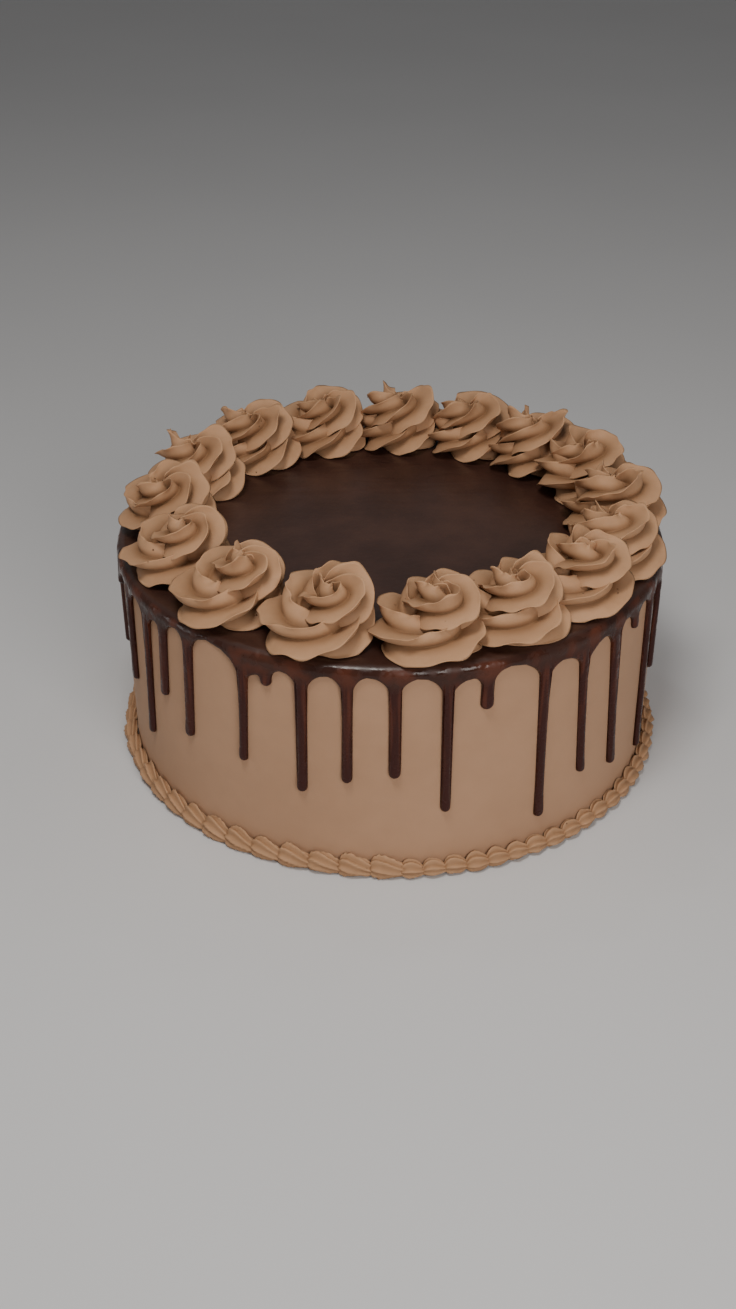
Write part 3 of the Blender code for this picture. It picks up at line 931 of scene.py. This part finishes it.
def swirl_grid(index):
    """A five-toothed section, kept on its teeth, carried along the spiral without turning in the world."""
    style = swirl_style(index)
    lean = np.array(SWIRLS[index][2:])
    t = np.append(np.linspace(0, LAPS, WINDING_STEPS), np.full(PULL_STEPS, LAPS))
    pull = np.append(np.zeros(WINDING_STEPS), np.linspace(0, 1, PULL_STEPS + 1)[1:])
    centre, rope, flatness, turn, upward, outward = rope_line(t, pull, lean, style)
    angle, form, blunted, drawn, lip = star_section(t, pull, turn, style)
    size = rope[:, None] * blunted * drawn
    points = centre[:, None] + size[..., None] * (
        (flatness[:, None] * np.cos(angle))[..., None] * upward[:, None]
        + np.sin(angle)[..., None] * outward[:, None])
    z = points[..., 2]
    points[..., 2] = np.where(z < SPREAD_MM, SPREAD_MM * np.exp((z - SPREAD_MM) / 2.5), z)
    middle = swirl_middle(index)
    points[..., :2] = pressed_back(points[..., :2], middle, index) + middle
    points = points * MM
    points[..., 2] += SWIRL_FOOT
    # Marks for the material: painted shade in the valleys ('deep') and a painted highlight on the thin lips
    # ('lip').
    deep = np.clip((SHADE_START - form) / (SHADE_START - VALLEY_SIZE), 0, 1) ** 1.2
    marks = {"lip": np.broadcast_to(lip, size.shape) * smoothstep(0.0, 0.1, t)[:, None],
             "deep": np.broadcast_to(deep, size.shape)}
    return points, marks


def make_swirls():
    """Pipes the sixteen swirls, each in the place of its own solid."""
    made = []
    for index in range(SWIRL_COUNT):
        name = f"piped_swirl_{index + 1:02d}"
        mesh = closed_grid(name, *swirl_grid(index))
        made.append(show(name, mesh, swirl_cream, "swirl_cream", f"swirl_{index + 1:02d}"))
    return made


swirls = make_swirls()
print(len(swirls), "swirls of", len(swirls[0].data.polygons), "faces")

# %% [markdown]
# ## The shell border
#
# Round the foot runs a line of small shells from a fluted nozzle. Each starts as a fat fluted head and is
# drawn out to a thin tail, on which the next head sits. One shell is a rope whose size rises fast and
# falls slowly along the wall. The whole line is one array: shell by shell, section by section.

# %% Border
BORDER_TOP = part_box("shell_border")[1][2]
# Where the first shell starts in degrees. In mm: the first and the last pitch before the ring is closed,
# the depth and the height.
BORDER_START = -87.0
BORDER_PITCHES = (9.9, 14.4)
BORDER_DEPTH = 7.4
BORDER_HEIGHT = 8.8
# A shell's half section as a share of the border's depth and height.
SHELL_SHARE = 0.58
# How far the top of a shell leans back on the wall, in mm.
WALL_LEAN = 1.8
SHELL_ROWS = 22
SHELL_SIDES = 54
FLUTES = 7
# Nearer than this to the floor or to the wall, in mm, a shell spreads flat.
FLAT_MM = 0.4
BORDER_SEED = 14


def shell_pitches():
    """Lengths of the shells round the foot, growing from the first to the last, that close the ring."""
    around = 2 * np.pi * (CAKE_RADIUS * 1000 + BORDER_DEPTH / 2)
    count = round(around / (sum(BORDER_PITCHES) / 2))
    pitches = np.linspace(*BORDER_PITCHES, count)
    return pitches * around / pitches.sum()


def shell_grids(pitches):
    """Every shell at once: fluted, fat at the head, drawn out to the tail, pressed on floor and wall."""
    rng = np.random.default_rng(BORDER_SEED)
    count = len(pitches)
    ring = CAKE_RADIUS * 1000 + 0.46 * BORDER_DEPTH
    heads = np.concatenate([[0], np.cumsum(pitches)[:-1]])[:, None, None]
    u = (0.5 - 0.5 * np.cos(np.linspace(0.02, 1, SHELL_ROWS) * np.pi))[None, :, None]
    v = (np.arange(SHELL_SIDES) / SHELL_SIDES * 2 * np.pi)[None, None]
    grown = ((pitches - pitches.min()) / np.ptp(pitches))[:, None, None]
    size = rng.uniform(0.92, 1.06, (count, 1, 1))
    long = pitches[:, None, None] * (1.22 + 0.16 * grown)
    body = np.sin(np.pi * np.clip(u, 0.001, 0.999) ** (0.72 - 0.24 * grown)) ** 0.66
    twist = 0.4 + 3.4 * grown + rng.uniform(-0.5, 0.5, (count, 1, 1))
    turn = v * FLUTES / 2 + rng.uniform(0, 3, (count, 1, 1)) + twist * u
    ridge = np.abs(np.sin(turn)) ** 0.8
    ragged = 0.05 * np.sin(v * 7 + 17 * u + rng.uniform(0, 6, (count, 1, 1))) * np.sin(u * 29 + v * 3)
    flute = 1 - (0.36 + 0.06 * grown) * ridge + ragged
    tall = BORDER_HEIGHT * SHELL_SHARE * size * (0.88 + 0.30 * grown) * body * flute
    deep = BORDER_DEPTH * SHELL_SHARE * size * (0.92 + 0.08 * grown) * body * flute
    s = heads + u * long - 0.20 * pitches[:, None, None] + 0 * v
    r = ring + rng.uniform(-0.5, 0.1, (count, 1, 1)) + deep * np.cos(v)
    r = r - WALL_LEAN * body * np.maximum(np.sin(v), 0)
    z = BORDER_HEIGHT * (0.26 + 0.20 * body + 0.10 * grown * (1 - u)) + tall * np.sin(v)
    z = np.where(z < FLAT_MM, FLAT_MM * np.exp((z - FLAT_MM) / 1.6), z)
    wall = CAKE_RADIUS * 1000 + 0.1
    near = np.minimum(r - wall - FLAT_MM, 0)
    r = np.where(r < wall + FLAT_MM, wall + FLAT_MM * np.exp(near / 1.2), r)
    angle = math.radians(BORDER_START) + s / ring
    grid = np.stack([r * np.cos(angle), r * np.sin(angle), np.broadcast_to(z, r.shape)], axis=-1) * MM
    return grid, np.broadcast_to(ridge, r.shape).reshape(count, -1)


lengths = shell_pitches()
print(len(lengths), "shells,", round(lengths[0], 2), "to", round(lengths[-1], 2), "mm apart")

# %% [markdown]
# Each shell is closed with a pole at both ends, and all of them go into one mesh. The valleys between the
# flutes carry a number that the material turns into painted shade, and the flutes' crests one for a painted
# highlight.

# %% Border mesh
def make_border():
    """All shells in one mesh, each closed on its own."""
    points, quads, triangles, grooves = [], [], [], []
    for shell, furrow in zip(*shell_grids(shell_pitches())):
        base = sum(len(p) for p in points)
        flat = shell.reshape(-1, 3)
        points.append(np.concatenate([flat, [shell[0].mean(axis=0), shell[-1].mean(axis=0)]]))
        grooves.append(np.append(furrow, [0.5, 0.5]))
        quads.append(grid_quads(SHELL_ROWS, SHELL_SIDES) + base)
        last = (SHELL_ROWS - 1) * SHELL_SIDES
        triangles.append(pole_triangles(0, SHELL_SIDES, len(flat), False) + base)
        triangles.append(pole_triangles(last, SHELL_SIDES, len(flat) + 1, True) + base)
    grooves = np.concatenate(grooves)
    # Painted shade in the flute valleys and a painted highlight on their crests.
    marks = {"deep": 0.55 * grooves ** 3, "lip": np.clip(1 - grooves * 2.5, 0, 1)}
    mesh = build_mesh("piped_border", np.concatenate(points), np.concatenate(quads),
                      np.concatenate(triangles), marks)
    return show("piped_border", mesh, border_cream, "border_cream", "shell_border")


border = make_border()
print("border", len(border.data.polygons), "faces, solid top", round(BORDER_TOP * 1000, 1), "mm")

# %% [markdown]
# ## Floor and light
#
# The cake stands on a plain pale floor. The key lamp is high above the front, slightly to the left, and a
# second one fills in lower, from the front on the right. A weak one lights the wall's left side, and two
# small ones behind the cake shine over it onto the wet rim. The room adds a little even light.

# %% Stage
def floor_material():
    """Pale grey with a faint unevenness."""
    bench = Bench("pale_floor")
    tone = bench.mix(bench.noise(3.0), (0.60, 0.60, 0.61), (0.64, 0.64, 0.65))
    return bench.finish(Base_Color=tone, Roughness=0.7)


FLOOR_HALF = 6.0
# The floor lies this far under the cake, in metres, so that the two never share a plane.
FLOOR_DROP = 0.0002


def make_floor():
    """A square of floor. It is stage, because it isn't part of the cake."""
    signs = np.array([(-1, -1), (1, -1), (1, 1), (-1, 1)])
    corners = np.column_stack([signs * FLOOR_HALF, np.full(4, -FLOOR_DROP)])
    mesh = build_mesh("floor", corners, np.array([[0, 1, 2, 3]]), np.zeros((0, 3), dtype=int))
    mesh.materials.append(floor_material())
    floor = bpy.data.objects.new("floor", mesh)
    bpy.context.scene.collection.objects.link(floor)


def soft_light(name, place, size, watts, colour=(1.0, 1.0, 1.0)):
    """A square lamp that points at the middle of the cake."""
    data = bpy.data.lights.new(name, "AREA")
    data.shape = "SQUARE"
    data.size = size
    data.energy = watts
    data.color = colour
    lamp = bpy.data.objects.new(name, data)
    bpy.context.scene.collection.objects.link(lamp)
    lamp.location = place
    aim = Vector((0, 0, 0.07)) - Vector(place)
    lamp.rotation_euler = aim.to_track_quat("-Z", "Y").to_euler()


def make_world(strength):
    """Even light from all round."""
    world = bpy.data.worlds.new("room")
    world.use_nodes = True
    background = world.node_tree.nodes["Background"]
    background.inputs["Color"].default_value = (0.97, 0.96, 0.95, 1.0)
    background.inputs["Strength"].default_value = strength
    bpy.context.scene.world = world


make_floor()
soft_light("key", (-0.14, -0.40, 0.95), 0.26, 5.0, (1.0, 0.97, 0.92))
soft_light("fill", (0.40, -1.00, 0.55), 0.45, 6.1, (1.0, 0.96, 0.92))
soft_light("left", (-1.50, -0.20, 0.35), 0.50, 1.9)
soft_light("fleck_left", (-0.35, 0.5, 1.5), 0.10, 0.45)
soft_light("fleck_right", (0.55, 0.6, 1.4), 0.10, 0.3)
make_world(0.17)
print("stage ready")
